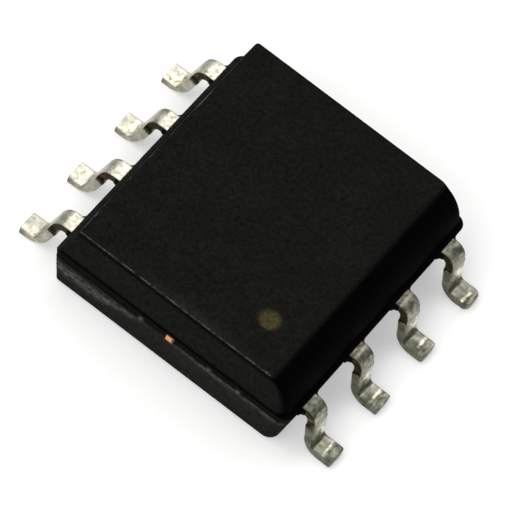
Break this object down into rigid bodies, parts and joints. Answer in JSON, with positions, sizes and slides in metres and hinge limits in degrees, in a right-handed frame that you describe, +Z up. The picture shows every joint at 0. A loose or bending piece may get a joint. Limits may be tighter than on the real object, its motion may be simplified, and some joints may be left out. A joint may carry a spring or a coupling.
{
  "type": "analog-to-digital converter chip",
  "caption": "Small-outline surface-mount integrated circuit that turns an analog voltage into digital data: black moulded body with a bevelled edge, a dimple and gull-wing leads.",
  "frame": {"origin": "middle of the seating plane under the feet, below the centre of the body", "axes": "+X across the two lead rows, +Y along the rows towards the end with lead 1, +Z up from the board"},
  "size_m": [0.006, 0.005, 0.0015],
  "materials": {
    "mold_compound": "fine matte moulded epoxy",
    "tin_plate": "matte tin plating over copper",
    "copper_frame": "bare stamped copper alloy",
    "silver_adhesive": "cured silver-filled epoxy",
    "silicon": "polished silicon",
    "gold_wire": "drawn gold wire"
  },
  "bodies": {
    "root": {"mold_body": "mold_compound", "lead_1": "tin_plate", "lead_2": "tin_plate", "lead_3": "tin_plate", "lead_4": "tin_plate", "lead_5": "tin_plate", "lead_6": "tin_plate", "lead_7": "tin_plate", "lead_8": "tin_plate", "die_paddle": "copper_frame", "die_attach": "silver_adhesive", "silicon_die": "silicon", "bond_wire_1": "gold_wire", "bond_wire_2": "gold_wire", "bond_wire_3": "gold_wire", "bond_wire_4": "gold_wire", "bond_wire_5": "gold_wire", "bond_wire_6": "gold_wire", "bond_wire_7": "gold_wire", "bond_wire_8": "gold_wire"}
  },
  "joints": []
}
